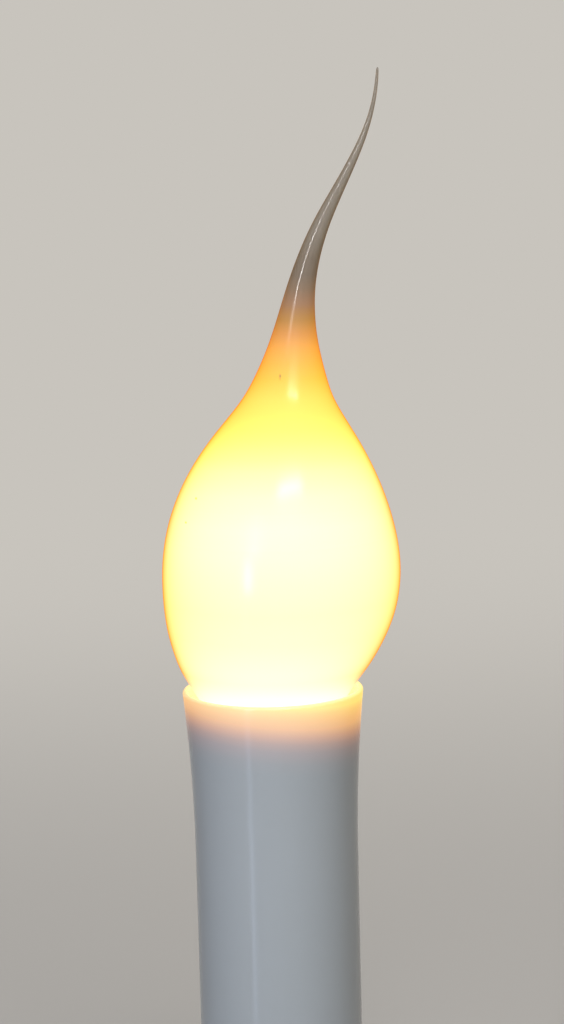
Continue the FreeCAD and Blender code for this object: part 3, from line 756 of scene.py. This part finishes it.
# 1 for the rays that see the backdrop: straight, mirrored or through something clear
def seenRays(tree):
    path = addNode(tree, "ShaderNodeLightPath")
    seen = addNode(tree, "ShaderNodeMath", {0: path.outputs["Is Camera Ray"],
                                            1: path.outputs["Is Glossy Ray"]}, operation="MAXIMUM")
    return addNode(tree, "ShaderNodeMath", {0: seen.outputs[0], 1: path.outputs["Is Transmission Ray"]},
                   operation="MAXIMUM").outputs[0]


# Paper that fades into the backdrop with distance, and can't be seen from below
def makeFloor():
    deselectAll()
    bpy.ops.mesh.primitive_circle_add(vertices=stage["floorSides"], radius=stage["floorSize"] / 2,
                                      fill_type="NGON", location=(0, 0, -stage["floorDrop"]))
    floor = bpy.context.object
    floor.name = "studioFloor"
    material = bpy.data.materials.new("studioPaper")
    material.use_nodes = True
    tree = material.node_tree
    tree.nodes.clear()
    seen = seenRays(tree)
    tone = addNode(tree, "ShaderNodeMix", {0: seen, 6: toLinear(stage["bounce"]),
                                           7: toLinear(stage["floor"])}, data_type="RGBA")
    paper = addNode(tree, "ShaderNodeBsdfDiffuse", {"Color": tone.outputs[2]})
    glow = addNode(tree, "ShaderNodeEmission", {"Color": toLinear(stage["backdrop"])})
    place = addNode(tree, "ShaderNodeTexCoord")
    far = addNode(tree, "ShaderNodeVectorMath", {0: place.outputs["Object"]}, operation="LENGTH")
    fade = addNode(tree, "ShaderNodeMapRange", {"Value": far.outputs["Value"], "From Min": stage["fadeFrom"],
                                                "From Max": stage["fadeTo"]},
                   interpolation_type="SMOOTHSTEP")
    share = addNode(tree, "ShaderNodeMath", {0: fade.outputs[0], 1: seen}, operation="MULTIPLY")
    mixed = addNode(tree, "ShaderNodeMixShader", {0: share.outputs[0], 1: paper.outputs[0],
                                                  2: glow.outputs[0]})
    side = addNode(tree, "ShaderNodeNewGeometry")
    below = addNode(tree, "ShaderNodeMath", {0: side.outputs["Backfacing"], 1: seen}, operation="MULTIPLY")
    clear = addNode(tree, "ShaderNodeBsdfTransparent")
    paperSide = addNode(tree, "ShaderNodeMixShader", {0: below.outputs[0], 1: mixed.outputs[0],
                                                      2: clear.outputs[0]})
    addNode(tree, "ShaderNodeOutputMaterial", {"Surface": paperSide.outputs[0]})
    floor.data.materials.append(material)


# Soft light from all round, and the plain backdrop where a ray sees it
def makeWorld():
    world = bpy.data.worlds.new("studio")
    bpy.context.scene.world = world
    world.use_nodes = True
    tree = world.node_tree
    tree.nodes.clear()
    soft = addNode(tree, "ShaderNodeBackground", {"Color": toLinear("#FFFFFF"), "Strength": stage["light"]})
    seen = addNode(tree, "ShaderNodeBackground", {"Color": toLinear(stage["backdrop"]), "Strength": 1.0})
    mixed = addNode(tree, "ShaderNodeMixShader", {0: seenRays(tree), 1: soft.outputs[0], 2: seen.outputs[0]})
    addNode(tree, "ShaderNodeOutputWorld", {"Surface": mixed.outputs[0]})


def makeLamp(name, azimuth, elevation, aim, distance, width, height, watts, colour, glossy, spread):
    turn, rise = math.radians(azimuth), math.radians(elevation)
    away = Vector((math.sin(turn) * math.cos(rise), -math.cos(turn) * math.cos(rise), math.sin(rise)))
    deselectAll()
    bpy.ops.object.light_add(type="AREA", location=Vector((0, 0, aim)) + away * distance)
    lamp = bpy.context.object
    lamp.name = name
    lamp.rotation_mode = "QUATERNION"
    lamp.rotation_quaternion = away.to_track_quat("Z", "Y")
    lamp.data.shape = "ELLIPSE" if width == height else "RECTANGLE"
    lamp.data.size, lamp.data.size_y = width, height
    lamp.data.energy = watts
    lamp.data.spread = math.radians(spread)
    lamp.data.color = toLinear(colour)[:3]
    lamp.visible_camera = lamp.visible_transmission = False
    lamp.visible_glossy = glossy


def makeCamera():
    deselectAll()
    bpy.ops.object.camera_add(location=camera["place"])
    eye = bpy.context.object
    eye.rotation_mode = "QUATERNION"
    tilt = Matrix.Rotation(math.radians(90 - camera["down"]), 3, "X")
    eye.rotation_quaternion = (tilt @ Matrix.Rotation(math.radians(-camera["roll"]), 3, "Z")).to_quaternion()
    eye.data.sensor_width = camera["sensor"]
    eye.data.lens = camera["lens"]
    eye.data.clip_start, eye.data.clip_end = camera["near"], camera["far"]
    bpy.context.scene.camera = eye


makeFloor()
makeWorld()
for name, values in lamps.items():
    makeLamp(name, *values)
makeCamera()
bpy.context.scene.view_settings.view_transform = "Standard"
print("stage, lamps and camera set")
